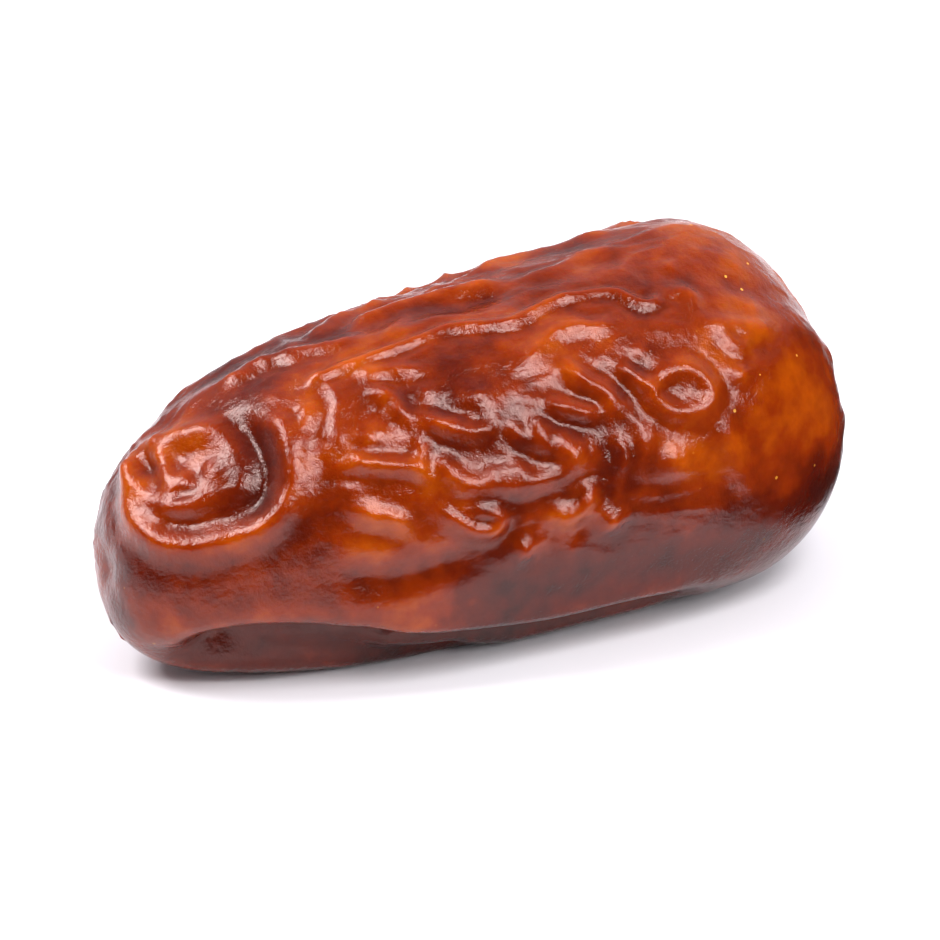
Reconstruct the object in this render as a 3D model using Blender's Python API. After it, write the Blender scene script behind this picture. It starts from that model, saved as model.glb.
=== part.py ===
"""A whole dried date lying on its belly, grown as one piece and built as one solid. Metres, +Z up.

The tip points to -X and the stem end to +X. The origin is on the table under the middle of the fruit.
A place on the skin is given as the distance over the skin from the tip and the turn up from the front (-Y).
"""

import math

import bmesh
import bpy
import numpy as np

MM = 0.001

# Driving dimensions of the fruit
LENGTH = 44.6 * MM
FLAT_SPOT_RISE = 0.22 * MM
BELLY_SOFTNESS = 0.9 * MM
MESH_RINGS = 72
MESH_SEGMENTS = 82
NARROWEST_FOLD = 0.75
SKIN_COLOUR = (0.24, 0.032, 0.004)

# Girth at stations along the fruit, as shares of its half length, from the tip (-1) to the stem end (+1)
STATIONS = (-1.0, -0.75, -0.45, -0.1, 0.3, 0.65, 1.0)
HALF_WIDTHS = [v * MM for v in (7.6, 8.4, 9.2, 9.8, 10.2, 10.2, 9.2)]
HALF_HEIGHTS = [v * MM for v in (7.8, 8.8, 9.6, 10.1, 10.3, 10.4, 9.6)]
MIDDLE_HEIGHTS = [v * MM for v in (7.2, 7.8, 8.6, 9.3, 9.9, 10.1, 10.0)]
END_BLUNTNESS = 3.0
SECTION_SQUARENESS = 2.15
STEM_SLANT = 0.10
TIP_SLANT = -0.05

# Lobes and hollows of the flesh: mm from the tip, degrees up from the front, radius and height in mm
LOBES = (
    ("top shoulder", 43.0, 110, 5.6, 1.75),
    ("stem foot", 43.0, -58, 5.5, 0.8),
    ("tip hollow", 8.6, 62, 3.4, -0.5),
    ("tip back", 9.0, 112, 5.0, 0.5),
    ("upper back", 15.5, 100, 6.0, 0.15),
    ("tip foot", 5.5, -55, 4.0, 0.6),
    ("front belly", 22.0, -12, 8.0, 0.4),
    ("side hollow", 17.5, 6, 4.0, -0.3),
    ("far flank hollow", 24.0, 168, 6.0, -0.5),
    ("far flank swell", 36.0, 190, 7.0, 0.5),
    ("far tip hollow", 11.0, 165, 4.0, -0.4),
)

# Front folds: height and half width in mm, then the course as (mm from the tip, degrees up from the front)
FRONT_FOLDS = (
    ("tip ring", 0.4, 0.85, [(6.9, 106), (5.8, 104), (4.7, 92), (4.0, 72), (4.4, 46), (5.2, 33), (6.6, 26),
                             (8.2, 24), (9.5, 24), (10.7, 25), (11.9, 29), (12.8, 36), (13.2, 47),
                             (13.4, 58), (13.2, 70)]),
    ("tip ring top", 0.42, 0.8, [(6.5, 106), (7.3, 98), (8.2, 90), (9.2, 84), (10.1, 78), (10.8, 75)]),
    ("tip arc", 0.36, 0.62, [(5.9, 106), (5.4, 96), (5.2, 82), (5.3, 66), (5.8, 55), (6.6, 49), (7.4, 47),
                             (8.2, 50)]),
    ("tip pad", 0.3, 0.9, [(9.2, 66), (9.0, 58), (8.7, 51)]),
    ("tip side valley", -0.32, 0.8, [(9.2, 33), (10.4, 35), (11.2, 44), (11.4, 58), (11.2, 72),
                                     (10.6, 82)]),
    ("left pad", 0.35, 0.9, [(16.3, 47), (17.3, 44), (18.7, 40)]),
    ("left fold", 0.4, 0.5, [(15.6, 38), (16.9, 36), (17.8, 34), (18.7, 32), (19.5, 30), (20.1, 27),
                             (20.6, 23)]),
    ("slanting fold", 0.35, 0.5, [(18.4, 62), (19.3, 56), (19.7, 49), (20.3, 45)]),
    ("middle fold", 0.45, 0.55, [(20.3, 45), (21.0, 44), (21.6, 41), (22.5, 38), (23.4, 36), (24.2, 36),
                                 (25.0, 40)]),
    ("middle pad", 0.4, 0.9, [(22.6, 49), (24.2, 46), (25.8, 45)]),
    ("low ridge", 0.4, 0.6, [(15.7, 23), (17.0, 18), (17.8, 16), (18.9, 11)]),
    ("low loop", 0.45, 0.5, [(20.7, 14), (21.8, 10), (22.7, 6), (23.7, 5), (24.1, 8), (23.4, 11),
                             (22.6, 12), (21.6, 13)]),
    ("low bead", 0.7, 0.6, [(24.7, -7), (25.7, -4), (26.4, -2)]),
    ("low fork", 0.5, 0.6, [(29.8, 5), (30.9, -2), (32.1, 1)]),
    ("arrow upper", 0.45, 0.6, [(26.4, 36), (27.0, 31), (27.3, 26), (28.4, 23), (29.8, 20)]),
    ("arrow side", 0.35, 0.6, [(27.3, 32), (28.5, 27), (29.8, 23)]),
    ("arrow lower", 0.45, 0.6, [(29.8, 20), (28.4, 18), (27.1, 17), (25.6, 17), (24.1, 18), (22.6, 20),
                                (21.6, 23)]),
    ("right fold", 0.4, 0.5, [(27.6, 39), (28.9, 36), (29.7, 34), (31.2, 32)]),
    ("right fold down", 0.4, 0.55, [(29.7, 52), (30.1, 46), (30.6, 42), (31.5, 38), (31.9, 34),
                                    (32.3, 29)]),
    ("right bar", 0.55, 0.6, [(33.8, 28), (33.1, 20), (32.6, 13)]),
    ("right pad", 0.6, 0.75, [(33.8, 15), (34.7, 12), (36.1, 11)]),
    ("right ring", 0.4, 0.5, [(34.4, 33), (34.5, 36), (35.2, 39), (36.6, 40), (37.7, 36), (38.1, 31),
                              (37.5, 27), (36.3, 26), (35.2, 28), (34.4, 33)]),
    ("right ring tail", 0.35, 0.45, [(34.5, 33), (33.6, 40), (32.7, 46)]),
    ("stem side rib", 0.3, 0.8, [(38.0, 25), (38.7, 14), (39.3, 4), (40.5, -6)]),
    ("dark hollow", -0.4, 0.9, [(14.8, 0), (16.5, -4), (18.5, -6), (21.0, -4), (23.6, -4)]),
    ("belly lip", 0.25, 1.4, [(5.5, -26), (7.5, -18), (9.2, -14), (12.1, -16), (14.6, -20), (17.2, -23),
                              (20, -25), (23, -27), (26, -31), (29, -34), (33, -35), (37, -38), (41, -46)]),
    ("belly recess", -1.9, 1.25, [(6.8, -46), (8.2, -37), (10.2, -31), (13, -30), (16, -33), (19, -36)]),
    ("belly recess end", -1.1, 0.9, [(17, -33.5), (20, -36.5), (24, -40), (28, -44), (33, -46), (37, -49)]),
    ("belly recess foot", -1.1, 1.1, [(6.2, -52), (8.5, -46), (12, -43), (16, -45), (20, -49), (25, -54)]),
)

# Folds of the back and the far flank, in the same terms
BACK_FOLDS = (
    ("back crest", 0.3, 0.36, [(15.4, 74), (17.8, 74), (19.8, 74), (22.7, 75), (24.2, 76), (25.4, 74),
                               (27.8, 70), (29.2, 72), (30.5, 74), (32.8, 74), (34.6, 72), (35.4, 67),
                               (36.2, 64), (37.4, 67)]),
    ("upper crest", 0.26, 0.55, [(27.4, 53), (28.8, 58), (30.1, 62), (31.3, 62), (32.3, 60), (34.0, 60)]),
    ("back hollow", -0.35, 1.0, [(24.2, 90), (26.2, 88), (28.1, 88), (30.0, 84)]),
    ("back line two", 0.35, 0.6, [(20.0, 98), (21.8, 100), (24.9, 99), (27.3, 97), (29.6, 95)]),
    ("back line three", 0.35, 0.6, [(11.6, 98), (14.5, 99), (16.4, 93), (18.0, 88), (20, 86)]),
    ("back line four", 0.35, 0.6, [(17.4, 101), (19.7, 107), (21.5, 112), (24, 111)]),
    ("back line five", 0.3, 0.6, [(30.0, 91), (33.0, 93), (34.7, 96), (37.4, 94)]),
    ("back line six", 0.4, 0.7, [(28.6, 112), (31, 116), (34.6, 117), (38.6, 115)]),
    ("back line seven", 0.35, 0.7, [(10, 126), (15, 120), (20, 122), (25, 119)]),
    ("stem corner groove", -0.3, 1.5, [(51, 78), (48, 74), (45, 70), (42, 72), (39.5, 78)]),
    ("far fold one", 0.5, 0.7, [(8, 150), (13, 146), (18, 138), (24, 132), (31, 128), (38, 126),
                                (44, 130)]),
    ("far fold two", 0.45, 0.7, [(15, 157), (20, 152), (25, 146), (30, 149), (36, 145), (41, 148)]),
    ("far fold three", 0.5, 0.8, [(10, 178), (15, 174), (19, 167), (25, 163), (31, 167), (37, 162)]),
    ("far branch", 0.35, 0.6, [(19, 167), (21, 175), (25, 182), (30, 181)]),
    ("far fold four", 0.45, 0.8, [(14, 196), (20, 192), (27, 196), (34, 190), (40, 184), (45, 186)]),
    ("far ring", 0.4, 0.6, [(34, 172), (36.5, 168), (39.5, 171), (40.5, 178), (38, 183), (35, 180),
                            (34, 172)]),
    ("far low fold", 0.4, 1.0, [(9, 214), (16, 216), (24, 212), (32, 216), (40, 210)]),
    ("far belly groove", -0.5, 1.1, [(13, 226), (21, 228), (29, 226), (36, 230)]),
)


def smooth_through(stations, values, at):
    """A smooth curve through the values given at the stations."""
    stations = np.asarray(stations, float)
    values = np.asarray(values, float)
    slopes = np.gradient(values, stations)
    i = np.clip(np.searchsorted(stations, at) - 1, 0, len(stations) - 2)
    step = stations[i + 1] - stations[i]
    u = np.clip((at - stations[i]) / step, 0, 1)
    rise = u * u * (3 - 2 * u)
    bend = slopes[i] * step * u * (1 - u) ** 2 - slopes[i + 1] * step * u * u * (1 - u)
    return values[i] * (1 - rise) + values[i + 1] * rise + bend


def meridian():
    """The fruit's half profile: distance along the skin, place along the axis and share of the full girth."""
    turn = np.linspace(0, math.pi, 2001)
    place = -np.sign(np.cos(turn)) * np.abs(np.cos(turn)) ** (2 / END_BLUNTNESS)
    girth = np.sin(turn).clip(0) ** (2 / END_BLUNTNESS)
    x = place * LENGTH / 2
    radius = girth * smooth_through(STATIONS, HALF_HEIGHTS, place)
    along = np.concatenate([[0], np.cumsum(np.hypot(np.diff(x), np.diff(radius)))])
    return along, place, girth


ALONG, PLACE, GIRTH = meridian()
SKIN_LENGTH = float(ALONG[-1])


def skin_point(along, around):
    """Points on the plain fruit, for distances along the skin in metres and turns in radians."""
    place = np.interp(along, ALONG, PLACE)
    girth = np.interp(along, ALONG, GIRTH)
    c, s = np.cos(around), np.sin(around)
    square = (np.abs(c) ** SECTION_SQUARENESS + np.abs(s) ** SECTION_SQUARENESS) ** (-1 / SECTION_SQUARENESS)
    out = c * square * girth * smooth_through(STATIONS, HALF_WIDTHS, place)
    rise = s * square * girth * smooth_through(STATIONS, HALF_HEIGHTS, place)
    x = place * LENGTH / 2
    x = x - STEM_SLANT * rise * smooth_through((-1, 0.2, 1), (0, 0, 1), place)
    x = x - TIP_SLANT * rise * smooth_through((-1, -0.2, 1), (1, 0, 0), place)
    z = rise + smooth_through(STATIONS, MIDDLE_HEIGHTS, place)
    return np.stack([x, -out, z], axis=-1)


def lobe_lift(skin, along, around, radius, height):
    """How far one soft lobe or hollow lifts each point of the plain skin."""
    centre = skin_point(np.array([along * MM]), np.radians([around]))[0]
    gap = np.linalg.norm(skin - centre, axis=1)
    return height * MM * np.exp(-((gap / (radius * MM)) ** 2))


def fold_course(points):
    """A fold's course as close points on the plain skin, with each one's mm from the nearer end."""
    places = np.array(points, float)
    steps = np.hypot(np.diff(places[:, 0]), np.diff(places[:, 1]) * 0.16)
    knots = np.concatenate([[0], np.cumsum(steps)])
    way = np.linspace(0, knots[-1], max(8, int(knots[-1] / 0.2)))
    along = smooth_through(knots, places[:, 0], way) * MM
    around = np.radians(smooth_through(knots, places[:, 1], way))
    return skin_point(along, around), np.minimum(way, knots[-1] - way)


def fold_lift(skin, height, width, points):
    """How far one fold lifts each point of the plain skin. Faint valleys run beside a narrow crest."""
    course, from_end = fold_course(points)
    width = max(width, NARROWEST_FOLD)
    reach = 3.2 * width * MM
    near = ((skin > course.min(0) - reach) & (skin < course.max(0) + reach)).all(1)
    lift = np.zeros(len(skin))
    gaps = np.linalg.norm(skin[near][:, None, :] - course[None, :, :], axis=2)
    apart = gaps.min(1) / (width * MM)
    beside = 0.22 if width < 1 else 0
    crest = np.exp(-(apart**2)) - beside * np.exp(-(((apart - 1.9) / 0.9) ** 2))
    closed = points[0] == points[-1]
    fade = np.ones(len(course)) if closed else np.clip(from_end / (2.5 * width) + 0.2, 0, 1)
    lift[near] = height * MM * crest * fade[gaps.argmin(1)]
    return lift


def wrinkled_share(along, around):
    """One where the skin is wrinkled, less on the tight belly, the underside and the clear stem shoulder."""
    mm = along / MM
    turn = np.degrees(around) % 360
    turn = np.where(turn > 270, turn - 360, turn)
    belly_top = np.interp(mm, (0, 8, 14, 21, 28, 44, 54), (26, 20, 10, -3, -10, -9, 0))
    tight = np.clip((belly_top + 6 - turn) / 14, 0, 1) * np.clip((turn + 100) / 30, 0, 1)
    clear = np.exp(-(((mm - 43) / 4.5) ** 2) - (((turn - 20) / 32) ** 2))
    far_belly = np.exp(-(((turn - 232) / 28) ** 2))
    under = np.exp(-(((turn + 90) / 30) ** 2))
    traced = np.clip((turn + 15) / 15, 0, 1) * np.clip((100 - turn) / 40, 0, 1)
    ringed = np.clip((14 - mm) / 3, 0, 1) * np.clip((100 - turn) / 30, 0, 1)
    tip = np.maximum(ringed, np.exp(-((mm / 4.5) ** 2)))
    top = np.exp(-(((turn - 106) / 28) ** 2))
    calm = 0.95 * tight + 0.9 * clear + 0.5 * far_belly + 0.6 * under + 0.7 * traced + 0.9 * tip + 0.6 * top
    return np.clip(1 - calm, 0.04, 1)


def gradient_noise(points):
    """Smooth noise between about -1 and 1, the same for the same points on every run."""
    cells = np.floor(points).astype(np.int64)
    within = points - cells
    fade = within**3 * (within * (within * 6 - 15) + 10)
    total = np.zeros(len(points))
    for corner in np.ndindex(2, 2, 2):
        x, y, z = (cells + corner).T
        key = (x * 73856093) ^ (y * 19349663) ^ (z * 83492791)
        key = ((key ^ (key >> 13)) * 1274126177) & 0x7FFFFFFF
        turn = (key & 1023) * (2 * math.pi / 1024)
        height = ((key >> 10) & 1023) / 511.5 - 1
        flat = np.sqrt(1 - height**2)
        away = within - corner
        slope = away[:, 0] * flat * np.cos(turn) + away[:, 1] * flat * np.sin(turn) + away[:, 2] * height
        total += slope * np.where(corner, fade, 1 - fade).prod(axis=1)
    return 1.5 * total


def wrinkle_lift(skin, share):
    """Small wandering wrinkles that mostly run along the fruit, between the folds set by hand."""
    at = skin / MM
    wander = np.stack([gradient_noise(at / (7, 5, 5) + shift) for shift in (3.1, 17.7, 29.4)], axis=1)
    ridge = gradient_noise(at / (6, 3, 3) + 0.9 * wander)
    swell = gradient_noise(at / (11, 7, 7) + 5)
    lift = 0.3 * np.clip(1 - 2.6 * np.abs(ridge), 0, 1) ** 1.5 - 0.08 + 0.3 * swell
    return lift * share * MM


def stem_scar_lift(along, around):
    """The dimple where the stem came away, with folds drawn in towards it."""
    inward = (SKIN_LENGTH - along) / MM
    dimple = -1.4 * np.exp(-((inward / 2.0) ** 2))
    drawn = 0.24 * np.cos(7 * around + 0.8 * np.sin(2 * around)) + 0.12 * np.cos(11 * around + 2)
    return MM * (dimple + drawn * np.exp(-(((inward - 3.2) / 1.5) ** 2)))


def tip_pucker_lift(along, around):
    """Faint creases that gather at the blunt tip."""
    gathered = 0.02 * np.cos(6 * around + 1) * np.exp(-(((along / MM - 2.2) / 1.2) ** 2))
    return MM * (gathered - 0.25 * np.exp(-((along / MM / 0.9) ** 2)))


def settle(z):
    """Presses the belly softly down to the table."""
    return 0.5 * (z + np.sqrt(z * z + BELLY_SOFTNESS**2))


def fruit_mesh():
    """The fruit's skin, shaped from a sphere whose poles become the tip and the stem end."""
    bm = bmesh.new()
    bmesh.ops.create_uvsphere(bm, u_segments=MESH_SEGMENTS, v_segments=MESH_RINGS, radius=1)
    ways = np.array([v.co for v in bm.verts])
    along = np.arccos(np.clip(-ways[:, 2], -1, 1)) / math.pi * SKIN_LENGTH
    around = np.arctan2(-ways[:, 1], ways[:, 0])
    skin = skin_point(along, around)
    for v, place in zip(bm.verts, skin):
        v.co = place
    bm.normal_update()
    outward = np.array([v.normal for v in bm.verts])
    lift = wrinkle_lift(skin, wrinkled_share(along, around))
    lift += stem_scar_lift(along, around) + tip_pucker_lift(along, around)
    for _, mm, degrees, radius, height in LOBES:
        lift += lobe_lift(skin, mm, degrees, radius, height)
    for _, height, width, points in FRONT_FOLDS + BACK_FOLDS:
        lift += fold_lift(skin, height, width, points)
    shaped = skin + outward * lift[:, None]
    shaped[:, 2] = settle(shaped[:, 2])
    for v, place in zip(bm.verts, shaped):
        v.co = place
    return bm


def cut_flat_spot(bm):
    """Cuts the flat spot that the fruit rests on."""
    level = min(v.co.z for v in bm.verts) + FLAT_SPOT_RISE
    everything = bm.verts[:] + bm.edges[:] + bm.faces[:]
    bmesh.ops.bisect_plane(bm, geom=everything, plane_co=(0, 0, level), plane_no=(0, 0, -1), clear_outer=True)
    bmesh.ops.contextual_create(bm, geom=[e for e in bm.edges if e.is_boundary])
    bmesh.ops.remove_doubles(bm, verts=bm.verts[:], dist=2e-6)
    bm.normal_update()


def bring_to_origin(bm):
    """Moves the fruit so that its box stands on the origin."""
    places = np.array([v.co for v in bm.verts])
    middle = (places.min(0) + places.max(0)) / 2
    bmesh.ops.translate(bm, verts=bm.verts[:], vec=(-middle[0], -middle[1], -places[:, 2].min()))
    spot = max(bm.faces, key=lambda face: len(face.verts))
    for v in spot.verts:
        v.co.z = 0


def skin_material():
    skin = bpy.data.materials.new("date_skin")
    skin.use_nodes = True
    shader = skin.node_tree.nodes["Principled BSDF"]
    shader.inputs["Base Color"].default_value = (*SKIN_COLOUR, 1)
    shader.inputs["Roughness"].default_value = 0.25
    shader.inputs["Metallic"].default_value = 0
    skin.diffuse_color = (*SKIN_COLOUR, 1)
    return skin


def add_date(collection):
    bm = fruit_mesh()
    cut_flat_spot(bm)
    bring_to_origin(bm)
    mesh = bpy.data.meshes.new("date")
    bm.to_mesh(mesh)
    bm.free()
    for face in mesh.polygons:
        face.use_smooth = abs(face.normal.z) < 0.999 or face.center.z > 1e-6
    mesh.materials.append(skin_material())
    date = bpy.data.objects.new("date", mesh)
    collection.objects.link(date)


def main():
    for obj in list(bpy.data.objects):
        bpy.data.objects.remove(obj)
    collection = bpy.data.collections.new("dried date")
    bpy.context.scene.collection.children.link(collection)
    add_date(collection)


main()
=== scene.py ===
"""A whole dried date on a white table, in studio light."""

import math

import bmesh
import bpy
import numpy as np
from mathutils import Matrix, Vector


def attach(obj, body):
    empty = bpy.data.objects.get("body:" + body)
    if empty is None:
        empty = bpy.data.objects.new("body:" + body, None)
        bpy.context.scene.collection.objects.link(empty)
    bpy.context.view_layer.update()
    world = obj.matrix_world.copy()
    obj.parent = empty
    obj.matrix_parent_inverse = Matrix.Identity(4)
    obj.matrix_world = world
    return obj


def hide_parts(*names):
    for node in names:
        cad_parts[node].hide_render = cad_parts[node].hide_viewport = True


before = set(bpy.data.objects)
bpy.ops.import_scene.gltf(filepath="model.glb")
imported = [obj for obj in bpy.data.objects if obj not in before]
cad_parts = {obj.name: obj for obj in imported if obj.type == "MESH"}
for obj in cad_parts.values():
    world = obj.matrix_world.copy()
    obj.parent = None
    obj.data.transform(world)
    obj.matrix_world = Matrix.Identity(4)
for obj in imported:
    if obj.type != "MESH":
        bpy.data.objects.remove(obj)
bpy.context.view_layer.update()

# The fruit's plain form: an oblong body with a blunt tip at -X and a fuller stem end at +X.
# Ripe flesh that dried on the palm, grown in one piece with its skin. A place on it is given as the distance
# over the skin from the tip and the turn up from the front flank (-Y).
MM = 0.001
FRUIT_LENGTH = 44.6 * MM
STATIONS = (-1.0, -0.75, -0.45, -0.1, 0.3, 0.65, 1.0)
HALF_WIDTHS = [v * MM for v in (7.6, 8.4, 9.2, 9.8, 10.2, 10.2, 9.2)]
HALF_HEIGHTS = [v * MM for v in (7.8, 8.8, 9.6, 10.1, 10.3, 10.4, 9.6)]
MIDDLE_HEIGHTS = [v * MM for v in (7.2, 7.8, 8.6, 9.3, 9.9, 10.1, 10.0)]
END_BLUNTNESS = 3.0
SECTION_SQUARENESS = 2.15
STEM_SLANT = 0.10
TIP_SLANT = -0.05


def smooth_through(stations, values, at):
    """A smooth curve through the values given at the stations."""
    stations = np.asarray(stations, float)
    values = np.asarray(values, float)
    slopes = np.gradient(values, stations)
    i = np.clip(np.searchsorted(stations, at) - 1, 0, len(stations) - 2)
    step = stations[i + 1] - stations[i]
    u = np.clip((at - stations[i]) / step, 0, 1)
    rise = u * u * (3 - 2 * u)
    bend = slopes[i] * step * u * (1 - u) ** 2 - slopes[i + 1] * step * u * u * (1 - u)
    return values[i] * (1 - rise) + values[i + 1] * rise + bend


turn = np.linspace(0, math.pi, 2001)
PLACE = -np.sign(np.cos(turn)) * np.abs(np.cos(turn)) ** (2 / END_BLUNTNESS)
GIRTH = np.sin(turn).clip(0) ** (2 / END_BLUNTNESS)
side_step = np.diff(GIRTH * smooth_through(STATIONS, HALF_HEIGHTS, PLACE))
ALONG = np.concatenate([[0], np.cumsum(np.hypot(np.diff(PLACE) * FRUIT_LENGTH / 2, side_step))])
SKIN_LENGTH = float(ALONG[-1])


def skin_point(along, around):
    """Points on the plain fruit, for distances along the skin in metres and turns in radians."""
    place = np.interp(along, ALONG, PLACE)
    girth = np.interp(along, ALONG, GIRTH)
    c, s = np.cos(around), np.sin(around)
    square = (np.abs(c) ** SECTION_SQUARENESS + np.abs(s) ** SECTION_SQUARENESS) ** (-1 / SECTION_SQUARENESS)
    out = c * square * girth * smooth_through(STATIONS, HALF_WIDTHS, place)
    rise = s * square * girth * smooth_through(STATIONS, HALF_HEIGHTS, place)
    x = place * FRUIT_LENGTH / 2
    x = x - STEM_SLANT * rise * smooth_through((-1, 0.2, 1), (0, 0, 1), place)
    x = x - TIP_SLANT * rise * smooth_through((-1, -0.2, 1), (1, 0, 0), place)
    z = rise + smooth_through(STATIONS, MIDDLE_HEIGHTS, place)
    return np.stack([x, -out, z], axis=-1)


# The mesh of the fruit, fine enough for its thinnest wrinkles.
# It is a sphere whose poles become the tip and the stem end, with its points laid on the plain fruit.
RINGS = 300
SEGMENTS = 316
date_bm = bmesh.new()
bmesh.ops.create_uvsphere(date_bm, u_segments=SEGMENTS, v_segments=RINGS, radius=1)
ways = np.array([v.co for v in date_bm.verts])
along = np.arccos(np.clip(-ways[:, 2], -1, 1)) / math.pi * SKIN_LENGTH
around = np.arctan2(-ways[:, 1], ways[:, 0])
skin = skin_point(along, around)
for v, place in zip(date_bm.verts, skin):
    v.co = place
date_bm.normal_update()
outward = np.array([v.normal for v in date_bm.verts])
lift = np.zeros(len(skin))

# Lobes and hollows of the flesh, which swelled and sank unevenly as the fruit dried.
# Each has its mm from the tip, degrees up from the front, radius and height in mm.
LOBES = (
    ("top shoulder", 43.0, 110, 5.6, 1.75),
    ("stem foot", 43.0, -58, 5.5, 0.8),
    ("tip hollow", 8.6, 62, 3.4, -0.5),
    ("tip back", 9.0, 112, 5.0, 0.5),
    ("upper back", 15.5, 100, 6.0, 0.15),
    ("tip foot", 5.5, -55, 4.0, 0.6),
    ("front belly", 22.0, -12, 8.0, 0.4),
    ("side hollow", 17.5, 6, 4.0, -0.3),
    ("far flank hollow", 24.0, 168, 6.0, -0.5),
    ("far flank swell", 36.0, 190, 7.0, 0.5),
    ("far tip hollow", 11.0, 165, 4.0, -0.4),
)


def lobe_lift(skin, mm, degrees, radius, height):
    """How far one soft lobe or hollow lifts each point of the plain skin."""
    centre = skin_point(np.array([mm * MM]), np.radians([degrees]))[0]
    gap = np.linalg.norm(skin - centre, axis=1)
    return height * MM * np.exp(-((gap / (radius * MM)) ** 2))


for _, mm, degrees, radius, height in LOBES:
    lift += lobe_lift(skin, mm, degrees, radius, height)

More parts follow.
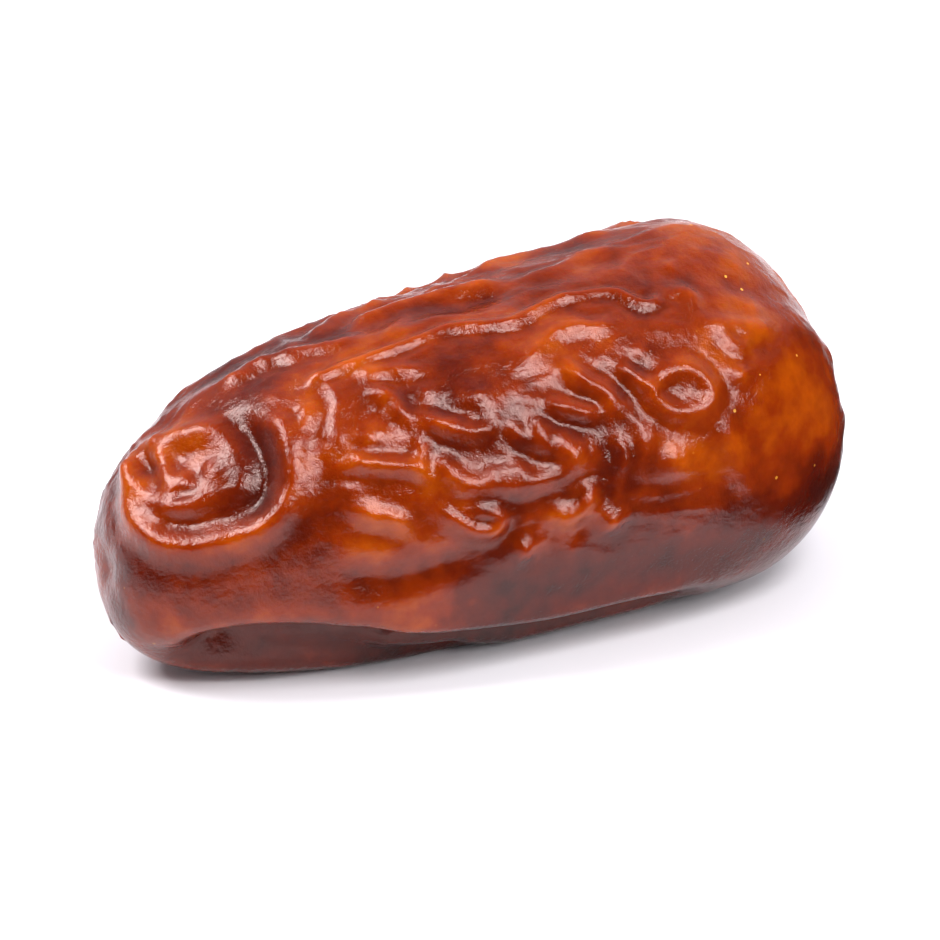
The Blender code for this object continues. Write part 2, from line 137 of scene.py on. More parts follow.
# Folds of the skin, which was too big for the shrunken flesh and gathered into crests between faint valleys.
# Each has its height and half width in mm, then its course as (mm from the tip, degrees up from the front).
FOLDS = (
    ("tip ring", 0.48, 0.8, [(6.9, 106), (5.8, 104), (4.7, 92), (4.0, 72), (4.4, 46), (5.2, 33), (6.6, 26),
                             (8.2, 24), (9.5, 24), (10.7, 25), (11.9, 29)]),
    ("tip ring right", 0.42, 0.8, [(10.5, 24.8), (11.9, 29), (12.8, 36), (13.2, 47), (13.4, 58), (13.2, 70)]),
    ("tip ring top", 0.42, 0.8, [(6.5, 106), (7.3, 98), (8.2, 90), (9.2, 84), (10.1, 78), (10.8, 75)]),
    ("tip arc", 0.36, 0.62, [(5.9, 106), (5.4, 96), (5.2, 82), (5.3, 66), (5.8, 55), (6.6, 49), (7.4, 47),
                             (8.2, 50)]),
    ("tip first stroke", 0.34, 0.55, [(7.2, 95), (6.8, 84), (6.5, 74), (6.5, 63), (6.6, 56)]),
    ("tip second stroke", 0.3, 0.5, [(7.4, 72), (7.3, 64), (7.6, 54)]),
    ("tip pad", 0.3, 0.8, [(9.0, 67), (8.8, 58), (8.5, 51)]),
    ("tip valley", -0.1, 0.8, [(5.2, 84), (5.2, 55), (6.2, 43), (7.4, 37), (9.4, 35), (10.8, 39), (11.3, 48),
                               (11.5, 60), (11.5, 72)]),
    ("tip side valley", -0.36, 0.75, [(9.2, 33), (10.4, 35), (11.3, 44), (11.5, 58), (11.3, 72), (10.7, 82)]),
    ("behind tip ring", 0.3, 0.5, [(15.0, 68), (14.8, 60), (14.4, 54)]),
    ("beside tip ring", 0.3, 0.8, [(14.9, 48), (14.7, 41)]),
    ("left pad", 0.35, 0.9, [(16.3, 47), (17.3, 44), (18.7, 40)]),
    ("left fold", 0.4, 0.5, [(15.6, 38), (16.9, 36), (17.8, 34), (18.7, 32), (19.5, 30), (20.1, 27),
                              (20.6, 23)]),
    ("left fold branch", 0.3, 0.45, [(20.4, 38), (20.0, 32), (19.6, 30)]),
    ("left corner", 0.3, 0.5, [(20.6, 33), (21.4, 27), (22.2, 22)]),
    ("slanting fold", 0.35, 0.5, [(18.4, 62), (19.3, 56), (19.7, 49), (20.3, 45)]),
    ("middle fold", 0.45, 0.55, [(20.3, 45), (21.0, 44), (21.6, 41), (22.5, 38), (23.4, 36), (24.2, 36),
                                 (25.0, 40)]),
    ("middle pad", 0.4, 0.9, [(22.6, 49), (24.2, 46), (25.8, 45)]),
    ("middle knot", 0.3, 0.6, [(20.8, 54), (21.8, 51)]),
    ("low ridge", 0.4, 0.6, [(15.7, 23), (17.0, 18), (17.8, 16), (18.9, 11)]),
    ("low loop", 0.48, 0.58, [(20.7, 14), (21.8, 10), (22.7, 6), (23.7, 5), (24.1, 8), (23.4, 11), (22.6, 12),
                              (21.6, 13)]),
    ("low bead", 0.8, 0.68, [(24.7, -7), (25.7, -4), (26.4, -2)]),
    ("low curl", 0.52, 0.66, [(27.2, 7), (28.1, 3), (29.0, 5), (29.5, 9), (28.6, 10)]),
    ("low fork", 0.62, 0.7, [(29.8, 5), (30.9, -2), (32.1, 1)]),
    ("low fork stem", 0.3, 0.5, [(31.4, 8), (31.0, 1)]),
    ("arrow upper", 0.45, 0.6, [(26.4, 36), (27.0, 31), (27.3, 26), (28.4, 23), (29.8, 20)]),
    ("arrow side", 0.35, 0.6, [(27.3, 32), (28.5, 27), (29.8, 23)]),
    ("arrow lower", 0.45, 0.6, [(29.8, 20), (28.4, 18), (27.1, 17), (25.6, 17), (24.1, 18), (22.6, 20),
                                (21.6, 23)]),
    ("arrow inside", 0.25, 0.45, [(23.2, 23), (25.0, 22), (26.5, 21)]),
    ("arrow tail", 0.3, 0.45, [(25.3, 37), (25.7, 33), (26.6, 26)]),
    ("right fold", 0.4, 0.5, [(27.6, 39), (28.9, 36), (29.7, 34), (31.2, 32)]),
    ("right fold down", 0.4, 0.55, [(29.7, 52), (30.1, 46), (30.6, 42), (31.5, 38), (31.9, 34), (32.3, 29)]),
    ("right knot", 0.3, 0.6, [(26.2, 42), (27.8, 40)]),
    ("right thread", 0.25, 0.4, [(31.6, 26), (31.9, 18), (31.4, 10)]),
    ("right bar", 0.3, 0.8, [(33.8, 28), (33.1, 20), (32.6, 13)]),
    ("right pad", 0.5, 0.9, [(33.8, 15), (34.7, 12), (36.1, 11)]),
    ("right ring", 0.36, 0.6, [(34.4, 33), (34.5, 36), (35.2, 39), (36.6, 40), (37.7, 36), (38.1, 31),
                               (37.5, 27), (36.3, 26), (35.2, 28), (34.4, 33)]),
    ("right ring bead", 0.15, 0.6, [(36.2, 34), (37.0, 32)]),
    ("right ring tail", 0.35, 0.45, [(34.5, 33), (33.6, 40), (32.7, 46)]),
    ("upper knot", 0.3, 0.6, [(33.8, 50), (34.9, 47)]),
    ("stem side rib", 0.3, 0.8, [(38.0, 25), (38.7, 14), (39.3, 4), (40.5, -6)]),
    ("stem curl", 0.3, 0.5, [(39.7, 50), (40.8, 44), (42.0, 47)]),
    ("stem bead", 0.3, 0.6, [(39.5, 37), (40.4, 35), (41.2, 37)]),
    ("stem line", 0.3, 0.6, [(39.0, 54), (41.5, 51), (44.0, 50)]),
    ("top bead", 0.3, 0.5, [(38.2, 80), (39.4, 78)]),
    ("top hook", 0.3, 0.5, [(37.8, 69), (39.0, 65), (38.6, 58)]),
    ("top end bead", 0.3, 0.7, [(43.1, 63), (43.0, 55)]),
    ("dark hollow", -0.4, 0.9, [(14.8, 0), (16.5, -4), (18.5, -6), (21.0, -4), (23.6, -4)]),
    ("belly lip", 0.25, 1.4, [(5.5, -26), (7.5, -18), (9.2, -14), (12.1, -16), (14.6, -20), (17.2, -23),
                              (20, -25), (23, -27), (26, -31), (29, -34), (33, -35), (37, -38), (41, -46)]),
    ("belly recess", -1.9, 1.25, [(6.8, -46), (8.2, -37), (10.2, -31), (13, -30), (16, -33), (19, -36)]),
    ("belly recess end", -1.1, 0.9, [(17, -33.5), (20, -36.5), (24, -40), (28, -44), (33, -46), (37, -49)]),
    ("belly recess foot", -1.1, 1.1, [(6.2, -52), (8.5, -46), (12, -43), (16, -45), (20, -49), (25, -54)]),
    ("back crest", 0.3, 0.36, [(15.4, 74), (17.8, 74), (19.8, 74), (22.7, 75), (24.2, 76), (25.4, 74),
                               (27.8, 70), (29.2, 72), (30.5, 74), (32.8, 74), (34.6, 72), (35.4, 67),
                               (36.2, 64), (37.4, 67)]),
    ("back crest branch", 0.25, 0.45, [(18.1, 71), (19.2, 67), (20.3, 65), (22.0, 62)]),
    ("upper crest", 0.26, 0.55, [(27.4, 53), (28.8, 58), (30.1, 62), (31.3, 62), (32.3, 60), (34.0, 60)]),
    ("under crest", -0.05, 0.9, [(20.5, 66), (23.5, 66), (26.5, 63), (29.5, 65), (33.0, 66)]),
    ("back hollow", -0.35, 1.0, [(24.2, 90), (26.2, 88), (28.1, 88), (30.0, 84)]),
    ("back line one", 0.15, 0.6, [(20.6, 82), (22.6, 83), (24.1, 83), (26.2, 77), (27.6, 74), (29.2, 76)]),
    ("back line two", 0.35, 0.6, [(20.0, 98), (21.8, 100), (24.9, 99), (27.3, 97), (29.6, 95)]),
    ("back line three", 0.35, 0.6, [(11.6, 98), (14.5, 99), (16.4, 93), (18.0, 88), (20, 86)]),
    ("back line four", 0.35, 0.6, [(17.4, 101), (19.7, 107), (21.5, 112), (24, 111)]),
    ("back line five", 0.3, 0.6, [(30.0, 91), (33.0, 93), (34.7, 96), (37.4, 94)]),
    ("back line six", 0.4, 0.7, [(28.6, 112), (31, 116), (34.6, 117), (38.6, 115)]),
    ("back line seven", 0.35, 0.7, [(10, 126), (15, 120), (20, 122), (25, 119)]),
    ("stem corner groove", -0.3, 1.5, [(51, 78), (48, 74), (45, 70), (42, 72), (39.5, 78)]),
    ("far fold one", 0.5, 0.7, [(8, 150), (13, 146), (18, 138), (24, 132), (31, 128), (38, 126), (44, 130)]),
    ("far fold two", 0.45, 0.7, [(15, 157), (20, 152), (25, 146), (30, 149), (36, 145), (41, 148)]),
    ("far fold three", 0.5, 0.8, [(10, 178), (15, 174), (19, 167), (25, 163), (31, 167), (37, 162)]),
    ("far branch", 0.35, 0.6, [(19, 167), (21, 175), (25, 182), (30, 181)]),
    ("far fold four", 0.45, 0.8, [(14, 196), (20, 192), (27, 196), (34, 190), (40, 184), (45, 186)]),
    ("far ring", 0.4, 0.6, [(34, 172), (36.5, 168), (39.5, 171), (40.5, 178), (38, 183), (35, 180),
                             (34, 172)]),
    ("far low fold", 0.4, 1.0, [(9, 214), (16, 216), (24, 212), (32, 216), (40, 210)]),
    ("far belly groove", -0.5, 1.1, [(13, 226), (21, 228), (29, 226), (36, 230)]),
)
MM_PER_DEGREE = 0.16
COURSE_STEP = 0.2
FOLD_REACH = 3.2
VALLEY_DEPTH = 0.22
VALLEY_PLACE = 1.9
VALLEY_WIDTH = 0.9
BROAD_FOLD = 1
END_FADE = 2.5
END_SHARE = 0.2


def fold_course(points):
    """A fold's course as close points on the plain skin, and each point's mm from the nearer end."""
    places = np.array(points, float)
    steps = np.hypot(np.diff(places[:, 0]), np.diff(places[:, 1]) * MM_PER_DEGREE)
    knots = np.concatenate([[0], np.cumsum(steps)])
    way = np.linspace(0, knots[-1], max(8, int(knots[-1] / COURSE_STEP)))
    along = smooth_through(knots, places[:, 0], way) * MM
    around = np.radians(smooth_through(knots, places[:, 1], way))
    return skin_point(along, around), np.minimum(way, knots[-1] - way)


def fold_lift(skin, height, width, points):
    """How far one fold lifts each point of the plain skin."""
    course, from_end = fold_course(points)
    reach = FOLD_REACH * width * MM
    near = ((skin > course.min(0) - reach) & (skin < course.max(0) + reach)).all(1)
    lift = np.zeros(len(skin))
    gaps = np.linalg.norm(skin[near][:, None, :] - course[None, :, :], axis=2)
    apart = gaps.min(1) / (width * MM)
    beside = VALLEY_DEPTH if width < BROAD_FOLD else 0
    crest = np.exp(-(apart**2)) - beside * np.exp(-(((apart - VALLEY_PLACE) / VALLEY_WIDTH) ** 2))
    closed = points[0] == points[-1]
    fade = np.ones(len(course)) if closed else np.clip(from_end / (END_FADE * width) + END_SHARE, 0, 1)
    lift[near] = height * MM * crest * fade[gaps.argmin(1)]
    return lift


folded = np.zeros(len(skin))
for _, height, width, points in FOLDS:
    folded += fold_lift(skin, height, width, points)
lift += folded

# Wrinkles that wander between the folds, mostly along the fruit, with finer ones on top. Each kind has its
# height in mm, its size in mm along and across the fruit, its sway, its shift, and its crests' narrowness and
# sharpness. They fade out on the tight belly, the underside and the clear stem shoulder.
WRINKLES = (
    ("wrinkle", 0.3, (6, 3, 3), 0.9, 0, 2.6, 1.5),
    ("fine wrinkle", 0.13, (2.6, 1.3, 1.3), 1.3, 40, 2.4, 1.3),
    ("finest wrinkle", 0.035, (1.3, 0.75, 0.75), 1.6, 80, 2.4, 1.0),
)
WRINKLE_SINK = 0.08
SWAY_SIZE = (7, 5, 5)
SWAY_SHIFTS = (3.1, 17.7, 29.4)
SWELL_HEIGHT = 0.3
SWELL_SIZE = (11, 7, 7)
SWELL_SHIFT = 5
BELLY_TOP_MM = (0, 8, 14, 21, 28, 44, 54)
BELLY_TOP_DEGREES = (26, 20, 10, -3, -10, -9, 0)
TIGHT_EDGE = (-6, 8)
UNDERSIDE_EDGE = (-100, -70)
TRACED_FOOT = (-15, 0)
TRACED_TOP = (100, 60)
RINGED_END = (14, 11)
RINGED_TOP = (100, 70)
CLEAR_MM = (43, 4.5)
CLEAR_DEGREES = (20, 32)
FAR_BELLY_DEGREES = (232, 28)
UNDERSIDE_DEGREES = (-90, 30)
BACK_DEGREES = (106, 28)
TIP_MM = (0, 4.5)
LEAST_SHARE = 0.04


def band(value, middle, spread):
    """One where a value is in the middle of a soft band, and less away from it."""
    return np.exp(-(((value - middle) / spread) ** 2))


def rising(value, none, full):
    """Nothing where a value is at none, one where it is at full, and a straight rise between."""
    return np.clip((value - none) / (full - none), 0, 1)


def gradient_noise(points):
    """Smooth noise between about -1 and 1, the same for the same points on every run."""
    cells = np.floor(points).astype(np.int64)
    within = points - cells
    fade = within**3 * (within * (within * 6 - 15) + 10)
    total = np.zeros(len(points))
    for corner in np.ndindex(2, 2, 2):
        x, y, z = (cells + corner).T
        key = (x * 73856093) ^ (y * 19349663) ^ (z * 83492791)
        key = ((key ^ (key >> 13)) * 1274126177) & 0x7FFFFFFF
        turn = (key & 1023) * (2 * math.pi / 1024)
        height = ((key >> 10) & 1023) / 511.5 - 1
        flat = np.sqrt(1 - height**2)
        away = within - corner
        slope = away[:, 0] * flat * np.cos(turn) + away[:, 1] * flat * np.sin(turn) + away[:, 2] * height
        total += slope * np.where(corner, fade, 1 - fade).prod(axis=1)
    return 1.5 * total


def wrinkled_share(along, around):
    """How wrinkled the skin is, from nearly none to one, and how clear it is on the stem shoulder."""
    mm = along / MM
    turn = np.degrees(around) % 360
    turn = np.where(turn > 270, turn - 360, turn)
    belly_top = np.interp(mm, BELLY_TOP_MM, BELLY_TOP_DEGREES)
    tight = rising(belly_top - turn, *TIGHT_EDGE) * rising(turn, *UNDERSIDE_EDGE)
    clear = band(mm, *CLEAR_MM) * band(turn, *CLEAR_DEGREES)
    far_belly = band(turn, *FAR_BELLY_DEGREES)
    under = band(turn, *UNDERSIDE_DEGREES)
    traced = rising(turn, *TRACED_FOOT) * rising(turn, *TRACED_TOP)
    ringed = rising(mm, *RINGED_END) * rising(turn, *RINGED_TOP)
    tip = np.maximum(ringed, band(mm, *TIP_MM))
    top = band(turn, *BACK_DEGREES)
    calm = 0.95 * tight + 0.9 * clear + 0.5 * far_belly + 0.6 * under + 0.7 * traced + 0.9 * tip + 0.6 * top
    return np.clip(1 - calm, LEAST_SHARE, 1), clear


share, clear = wrinkled_share(along, around)
at = skin / MM
sway = np.stack([gradient_noise(at / SWAY_SIZE + shift) for shift in SWAY_SHIFTS], axis=1)
swell = gradient_noise(at / SWELL_SIZE + SWELL_SHIFT)
wrinkles = np.full(len(skin), -WRINKLE_SINK)
for _, height, size, swayed, shift, narrowness, sharpness in WRINKLES:
    ridge = gradient_noise(at / size + swayed * sway + shift)
    wrinkles += height * np.clip(1 - narrowness * np.abs(ridge), 0, 1) ** sharpness
lift += (wrinkles + SWELL_HEIGHT * swell) * share * MM

# The stem end, where the stalk came away and left a dimple with folds drawn in to it, and the blunt tip,
# which has a slight dent with faint folds gathered to it. Depths, heights and radii are in mm.
DIMPLE_DEPTH = 1.4
DIMPLE_RADIUS = 2.0
DRAWN_HEIGHTS = (0.24, 0.12)
DRAWN_MM = (3.2, 1.5)
GATHERED_HEIGHT = 0.02
GATHERED_MM = (2.2, 1.2)
DENT_DEPTH = 0.25
DENT_RADIUS = 0.9
from_tip = along / MM
from_stem = (SKIN_LENGTH - along) / MM
dimple = -DIMPLE_DEPTH * band(from_stem, 0, DIMPLE_RADIUS)
drawn = DRAWN_HEIGHTS[0] * np.cos(7 * around + 0.8 * np.sin(2 * around))
drawn += DRAWN_HEIGHTS[1] * np.cos(11 * around + 2)
lift += MM * (dimple + drawn * band(from_stem, *DRAWN_MM))
gathered = GATHERED_HEIGHT * np.cos(6 * around + 1) * band(from_tip, *GATHERED_MM)
lift += MM * (gathered - DENT_DEPTH * band(from_tip, 0, DENT_RADIUS))

# Where the skin is raised, clear or scarred, and where light and shade are painted on it, kept on the mesh
# for its material: the crests, with painted light on their tops and painted shade in the hollows between; the
# clear stem shoulder, with painted light along its top rim and a painted glow low on the front near the tip;
# the scar of the stalk; and painted shade under the belly and in its recess. A rise is the sine of the turn
# up from the front.
CREST_FULL_HEIGHT = 0.6
CREST_LIMITS = (-0.8, 1.2)
SWELL_IN_CREST = 0.45
RIM_LIGHT_AMOUNT = 1.3
RIM_LIGHT_MM = (45, 6)
RIM_LIGHT_DEGREES = (84, 38)
TIP_GLOW_AMOUNT = 0.9
TIP_GLOW_MM = (9, 6.5)
TIP_GLOW_RISE = (-0.4, 0.3)
SCAR_MM = (0, 2.4)
BELLY_SHADE_RISE = (0.1, -0.4)
BELLY_SHADE_START = (10, 26)
BELLY_SHADE_END = (0, 8)
BELLY_SHADE_LEAST = 0.1
BELLY_SHADE_FOLD = (-0.8 * MM, 0)
RECESS_SHADE_AMOUNT = 0.15
RECESS_SHADE_FOLD = (0, -1.2 * MM)
rise = np.sin(around)
# Painted shade in the hollows and painted light on the crests, from how far the skin is folded in or out.
crest = (folded / MM + wrinkles * share + SWELL_IN_CREST * swell * share) / CREST_FULL_HEIGHT
# Painted light along the top rim of the stem shoulder.
rim_light = RIM_LIGHT_AMOUNT * band(from_tip, *RIM_LIGHT_MM) * band(np.degrees(around), *RIM_LIGHT_DEGREES)
# A painted glow: the tone made lighter low on the front near the tip.
tip_glow = TIP_GLOW_AMOUNT * band(from_tip, *TIP_GLOW_MM) * band(rise, *TIP_GLOW_RISE) * np.cos(around).clip(0)
# Painted shade on the underside of the belly, fading out in deep folds.
belly = rising(rise, *BELLY_SHADE_RISE) * rising(from_tip, *BELLY_SHADE_START).clip(BELLY_SHADE_LEAST)
belly *= rising(from_stem, *BELLY_SHADE_END) * rising(folded, *BELLY_SHADE_FOLD)
# Painted shade in the belly recess, darker the deeper it is folded in.
recess = RECESS_SHADE_AMOUNT * rising(folded, *RECESS_SHADE_FOLD)
skin_kinds_and_shade = {
    "crest": crest.clip(*CREST_LIMITS),
    "clear": clear + rim_light + tip_glow,
    "scar": band(from_stem, *SCAR_MM),
    "belly": np.maximum(belly, recess),
}
for kind, amounts in skin_kinds_and_shade.items():
    layer = date_bm.verts.layers.float.new(kind)
    for v, amount in zip(date_bm.verts, amounts):
        v[layer] = amount

# The belly, pressed softly to the table by the fruit's own weight, and the flat spot on it that the fruit
# rests on. The finished skin is one closed mesh, with its middle over the origin and its foot on the table.
BELLY_SOFTNESS = 0.9 * MM
FLAT_SPOT_RISE = 0.22 * MM
MERGE_GAP = 0.001 * MM
shaped = skin + outward * lift[:, None]
shaped[:, 2] = 0.5 * (shaped[:, 2] + np.sqrt(shaped[:, 2] ** 2 + BELLY_SOFTNESS**2))
for v, place in zip(date_bm.verts, shaped):
    v.co = place
level = min(v.co.z for v in date_bm.verts) + FLAT_SPOT_RISE
whole = date_bm.verts[:] + date_bm.edges[:] + date_bm.faces[:]
bmesh.ops.bisect_plane(date_bm, geom=whole, plane_co=(0, 0, level), plane_no=(0, 0, -1), clear_outer=True)
bmesh.ops.contextual_create(date_bm, geom=[e for e in date_bm.edges if e.is_boundary])
bmesh.ops.remove_doubles(date_bm, verts=date_bm.verts[:], dist=MERGE_GAP)
places = np.array([v.co for v in date_bm.verts])
middle = (places.min(0) + places.max(0)) / 2
bmesh.ops.translate(date_bm, verts=date_bm.verts[:], vec=(-middle[0], -middle[1], -places[:, 2].min()))
date_bm.normal_update()
date_mesh = bpy.data.meshes.new("date_fruit")
date_bm.to_mesh(date_mesh)
date_bm.free()
for face in date_mesh.polygons:
    face.use_smooth = len(face.vertices) < 5
date_fruit = bpy.data.objects.new("date_fruit", date_mesh)
bpy.context.scene.collection.objects.link(date_fruit)

# The skin, thin and glossy with sugar over dark translucent flesh: red-brown on the flanks and amber where it
# is thin and stands clear of the flesh. Painted shade turns it nearly black-brown in the hollows, in the
# belly recess and under the belly, and painted light lifts it on the crests.
DEEP_BROWN_AND_SHADE = (0.028, 0.003, 0.002)
RED_BROWN = (0.075, 0.0055, 0.0008)
WARM_BROWN = (0.165, 0.0155, 0.0005)
AMBER = (0.285, 0.046, 0.0005)
SUGAR_YELLOW = (0.70, 0.33, 0.04)
PATCH_SCALE = 180
MOTTLE_SCALE = 750
GLOSS_SCALE = 900
SPECK_SCALE = 520
SPECK_RADIUS = 0.05
GRAIN_SCALE = 2100
GRAIN_DEPTH = 0.0001
GLOSS_ROUGHNESS = (0.07, 0.17)
MOTTLE_SHARE = 0.35
# The crest share is painted light on the crests and painted shade in the hollows; the clear share also
# carries the painted rim light and glow; the belly share is painted shade.
KIND_AND_SHADE_SHARES = (("crest", 0.21), ("clear", 0.19), ("scar", -0.5), ("belly", -0.31))
TONE_AND_SHADE_COLOURS = ((0.28, DEEP_BROWN_AND_SHADE), (0.56, RED_BROWN), (0.78, WARM_BROWN), (1.00, AMBER))
skin_look = bpy.data.materials.new("date_skin")
skin_look.use_nodes = True
nodes, links = skin_look.node_tree.nodes, skin_look.node_tree.links
shader = nodes["Principled BSDF"]
shader.inputs["IOR"].default_value = 1.46
shader.inputs["Specular Tint"].default_value = (1.0, 0.80, 0.76, 1)
shader.inputs["Subsurface Weight"].default_value = 0.4
shader.inputs["Subsurface Radius"].default_value = (1.0, 0.22, 0.06)
shader.inputs["Subsurface Scale"].default_value = 0.0022


def look_node(kind, **settings):
    """A new node of the skin's material, with its inputs or settings given by name."""
    node = nodes.new(kind)
    for name, value in settings.items():
        if name in node.inputs:
            node.inputs[name].default_value = value
        else:
            setattr(node, name, value)
    return node


spot = look_node("ShaderNodeTexCoord").outputs["Object"]


def noise_over_skin(scale, detail, roughness):
    """Mottling of the skin, finer for a larger scale."""
    noise = look_node("ShaderNodeTexNoise", Scale=scale, Detail=detail, Roughness=roughness)
    links.new(spot, noise.inputs["Vector"])
    return noise.outputs["Fac"]


def kind_or_shade_of_skin(name):
    """How much a spot is of one kind of skin, or of painted light or shade, as kept on the mesh."""
    return look_node("ShaderNodeAttribute", attribute_name=name).outputs["Fac"]


def ramp(factor, stops):
    """A colour that runs through the stops as the factor grows."""
    node = nodes.new("ShaderNodeValToRGB")
    elements = node.color_ramp.elements
    elements[0].position, elements[0].color = stops[0][0], (*stops[0][1], 1)
    elements[1].position, elements[1].color = stops[-1][0], (*stops[-1][1], 1)
    for position, colour in stops[1:-1]:
        elements.new(position).color = (*colour, 1)
    links.new(factor, node.inputs["Fac"])
    return node.outputs["Color"]


def sum_of(a, b, share):
    """The first value with a share of the second added."""
    node = look_node("ShaderNodeMath", operation="MULTIPLY_ADD")
    links.new(b, node.inputs[0])
    node.inputs[1].default_value = share
    links.new(a, node.inputs[2])
    return node.outputs[0]


# The tone: random mottling of the skin, with the kinds kept on the mesh added, painted light and shade among
# them.
tone_and_shade = noise_over_skin(PATCH_SCALE, 3, 0.55)
tone_and_shade = sum_of(tone_and_shade, noise_over_skin(MOTTLE_SCALE, 3, 0.6), MOTTLE_SHARE)
for kind, kind_share in KIND_AND_SHADE_SHARES:
    tone_and_shade = sum_of(tone_and_shade, kind_or_shade_of_skin(kind), kind_share)
colour = ramp(tone_and_shade, TONE_AND_SHADE_COLOURS)
specks = look_node("ShaderNodeTexVoronoi", Scale=SPECK_SCALE)
links.new(spot, specks.inputs["Vector"])
speck = look_node("ShaderNodeMath", operation="LESS_THAN")
links.new(specks.outputs["Distance"], speck.inputs[0])
speck.inputs[1].default_value = SPECK_RADIUS
sugared = look_node("ShaderNodeMath", operation="MULTIPLY")
links.new(speck.outputs[0], sugared.inputs[0])
links.new(kind_or_shade_of_skin("clear"), sugared.inputs[1])
speckled = look_node("ShaderNodeMix", data_type="RGBA")
links.new(sugared.outputs[0], speckled.inputs[0])
links.new(colour, speckled.inputs[6])
speckled.inputs[7].default_value = (*SUGAR_YELLOW, 1)
links.new(speckled.outputs[2], shader.inputs["Base Color"])
bump = look_node("ShaderNodeBump", Strength=0.7, Distance=GRAIN_DEPTH)
links.new(noise_over_skin(GRAIN_SCALE, 4, 0.65), bump.inputs["Height"])
links.new(bump.outputs["Normal"], shader.inputs["Normal"])
rough = look_node("ShaderNodeMapRange")
links.new(noise_over_skin(GLOSS_SCALE, 3, 0.6), rough.inputs["Value"])
rough.inputs["To Min"].default_value, rough.inputs["To Max"].default_value = GLOSS_ROUGHNESS
links.new(rough.outputs["Result"], shader.inputs["Roughness"])
date_mesh.materials.append(skin_look)
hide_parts("date")
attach(date_fruit, "root")

# The table, a wide plain sheet of matt white board that the fruit lies on.
# It reaches past the edge of every picture and is seen from above alone, so it has no thickness.
TABLE_REACH = 3
TABLE_WHITE = (0.77, 0.75, 0.79)
TABLE_ROUGHNESS = 0.55


def stage_piece(name, piece_bm, look_name, colour, roughness):
    """A piece that stands round the fruit, in one plain colour."""
    mesh = bpy.data.meshes.new(name)
    piece_bm.to_mesh(mesh)
    piece_bm.free()
    piece = bpy.data.objects.new(name, mesh)
    bpy.context.scene.collection.objects.link(piece)
    look = bpy.data.materials.new(look_name)
    look.use_nodes = True
    look_shader = look.node_tree.nodes["Principled BSDF"]
    look_shader.inputs["Base Color"].default_value = (*colour, 1)
    look_shader.inputs["Roughness"].default_value = roughness
    mesh.materials.append(look)
    return piece


table_bm = bmesh.new()
bmesh.ops.create_grid(table_bm, x_segments=1, y_segments=1, size=TABLE_REACH)
table = stage_piece("table", table_bm, "table_white", TABLE_WHITE, TABLE_ROUGHNESS)

# The flag, a dark card bent and stood on the table in front and to the right of the fruit. The camera doesn't
# see it and it casts no shadow. It shows in the skin's reflections alone, where it keeps the white table from
# hazing the front flank and the clear stem end.
FLAG_COURSE = ((-0.024, -0.040), (0.000, -0.034), (0.014, -0.024), (0.030, 0.006))
FLAG_HEIGHT = 0.018
FLAG_CLEARANCE = 0.0002
FLAG_DARK = (0.03, 0.01, 0.006)
FLAG_ROUGHNESS = 0.9
flag_bm = bmesh.new()
feet = [flag_bm.verts.new((x, y, FLAG_CLEARANCE)) for x, y in FLAG_COURSE]
edges = [flag_bm.edges.new(ends) for ends in zip(feet[:-1], feet[1:])]
raised = bmesh.ops.extrude_edge_only(flag_bm, edges=edges)["geom"]
upper = [v for v in raised if isinstance(v, bmesh.types.BMVert)]
bmesh.ops.translate(flag_bm, verts=upper, vec=(0, 0, FLAG_HEIGHT))
flag = stage_piece("flag", flag_bm, "flag_dark", FLAG_DARK, FLAG_ROUGHNESS)
flag.visible_camera = False
flag.visible_diffuse = False
flag.visible_shadow = False
flag.visible_transmission = False

# The room: a pale wall behind the fruit, which shows on the upper skin, and a dark room in front of it.
# The camera itself sees a plain pale backdrop instead.
ROOM_DARK = (0.015, 0.015, 0.018)
WALL_PALE = (0.54, 0.51, 0.56)
BACKDROP = (0.93, 0.93, 0.95)
WALL_WAY = (0.4, 1, 0)
WALL_EDGES = (0.45, 0.75)
room = bpy.data.worlds.new("studio")
bpy.context.scene.world = room
room.use_nodes = True
room_nodes, room_links = room.node_tree.nodes, room.node_tree.links
way_out = room_nodes.new("ShaderNodeTexCoord").outputs["Generated"]
wallward = room_nodes.new("ShaderNodeVectorMath")
wallward.operation = "DOT_PRODUCT"
wallward.inputs[1].default_value = WALL_WAY
room_links.new(way_out, wallward.inputs[0])
half = room_nodes.new("ShaderNodeMath")
half.operation = "MULTIPLY_ADD"
half.inputs[1].default_value = 0.5
half.inputs[2].default_value = 0.5
room_links.new(wallward.outputs["Value"], half.inputs[0])
wall = room_nodes.new("ShaderNodeValToRGB")
for stop, position, colour in zip(wall.color_ramp.elements, WALL_EDGES, (ROOM_DARK, WALL_PALE)):
    stop.position = position
    stop.color = (*colour, 1)
room_links.new(half.outputs[0], wall.inputs["Fac"])
choose = room_nodes.new("ShaderNodeMix")
choose.data_type = "RGBA"
room_links.new(room_nodes.new("ShaderNodeLightPath").outputs["Is Camera Ray"], choose.inputs[0])
room_links.new(wall.outputs["Color"], choose.inputs[6])
choose.inputs[7].default_value = (*BACKDROP, 1)
room_links.new(choose.outputs[2], room_nodes["Background"].inputs["Color"])

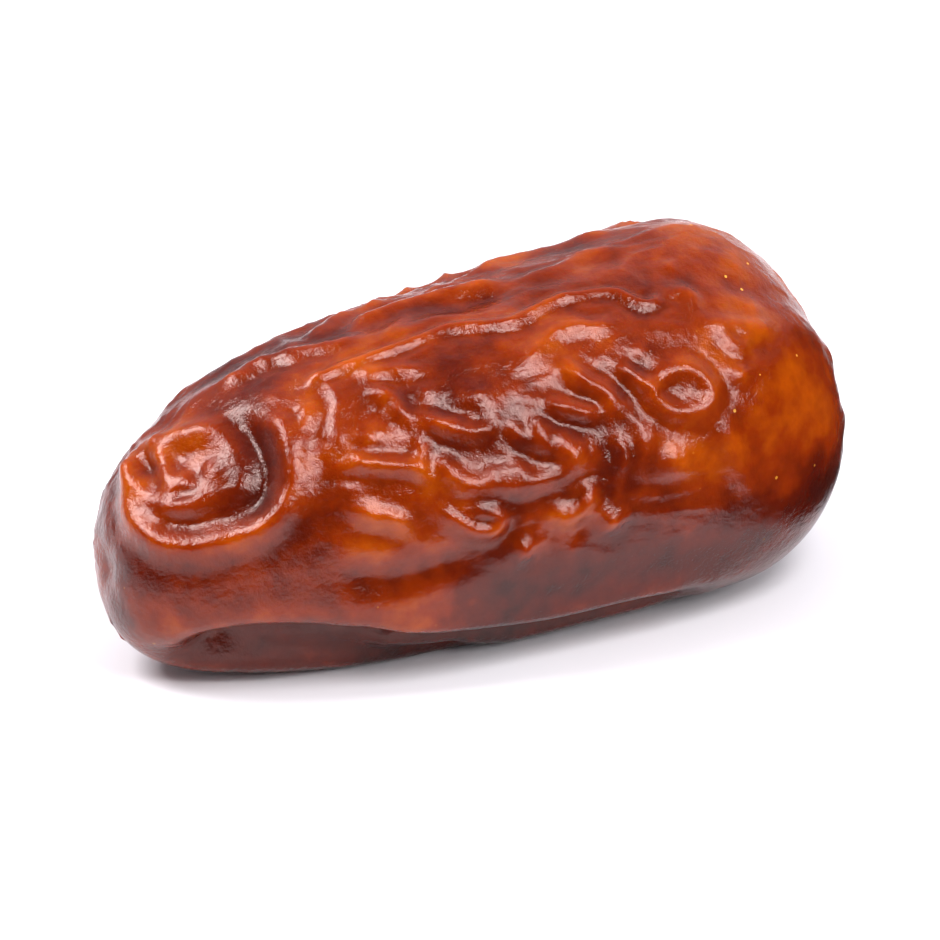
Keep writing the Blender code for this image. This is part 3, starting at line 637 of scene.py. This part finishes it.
# The soft boxes: three that show as highlights on the wet-looking skin, a wide one overhead and a low one at
# the left for light alone. Each has its way and height in degrees, distance and side in metres, and watts.
LIT_SPOT = (0, 0, 0.01)


def towards(azimuth, elevation):
    """The direction from the fruit for an angle round it, from the front to the right, and one up."""
    a, e = math.radians(azimuth), math.radians(elevation)
    return Vector((math.sin(a) * math.cos(e), -math.cos(a) * math.cos(e), math.sin(e)))


def aim(piece, spot_seen, azimuth, elevation, distance):
    """Sets a light or the camera at a distance from a spot, looking at it."""
    way = towards(azimuth, elevation)
    piece.location = Vector(spot_seen) + way * distance
    piece.rotation_mode = "QUATERNION"
    piece.rotation_quaternion = way.to_track_quat("Z", "Y")
    bpy.context.scene.collection.objects.link(piece)


def soft_box(name, azimuth, elevation, distance, side, watts, mirrored=True):
    """A square light, which the skin mirrors unless it is told not to."""
    light = bpy.data.lights.new(name, "AREA")
    light.shape = "RECTANGLE"
    light.size, light.size_y = side, side
    light.energy = watts
    box = bpy.data.objects.new(name, light)
    aim(box, LIT_SPOT, azimuth, elevation, distance)
    box.visible_camera = False
    box.visible_glossy = mirrored


soft_box("box_left", -110, 54, 0.6, 0.28, 4.2)
soft_box("box_front", 12, 54, 0.6, 0.24, 3.0)
soft_box("box_right", 32, 29, 0.6, 0.22, 2.2)
soft_box("overhead", 0, 88, 0.8, 1.2, 4.5, mirrored=False)
soft_box("low_fill", -55, 14, 0.6, 0.4, 0.9, mirrored=False)

# The camera, on a long lens, at the height and side from which the fruit was photographed.
# The span is the width of the picture at the fruit, in metres.
VIEW_AZIMUTH = -25
VIEW_ELEVATION = 24
VIEW_DISTANCE = 0.44
VIEW_SPAN = 0.0535
VIEW_SPOT = (0, 0, 0.0086)
camera = bpy.data.cameras.new("camera")
camera.sensor_width = 36
camera.lens = camera.sensor_width * VIEW_DISTANCE / VIEW_SPAN
camera.clip_start = 0.01
camera_at = bpy.data.objects.new("camera", camera)
aim(camera_at, VIEW_SPOT, VIEW_AZIMUTH, VIEW_ELEVATION, VIEW_DISTANCE)
bpy.context.scene.camera = camera_at
bpy.context.scene.view_settings.view_transform = "Standard"
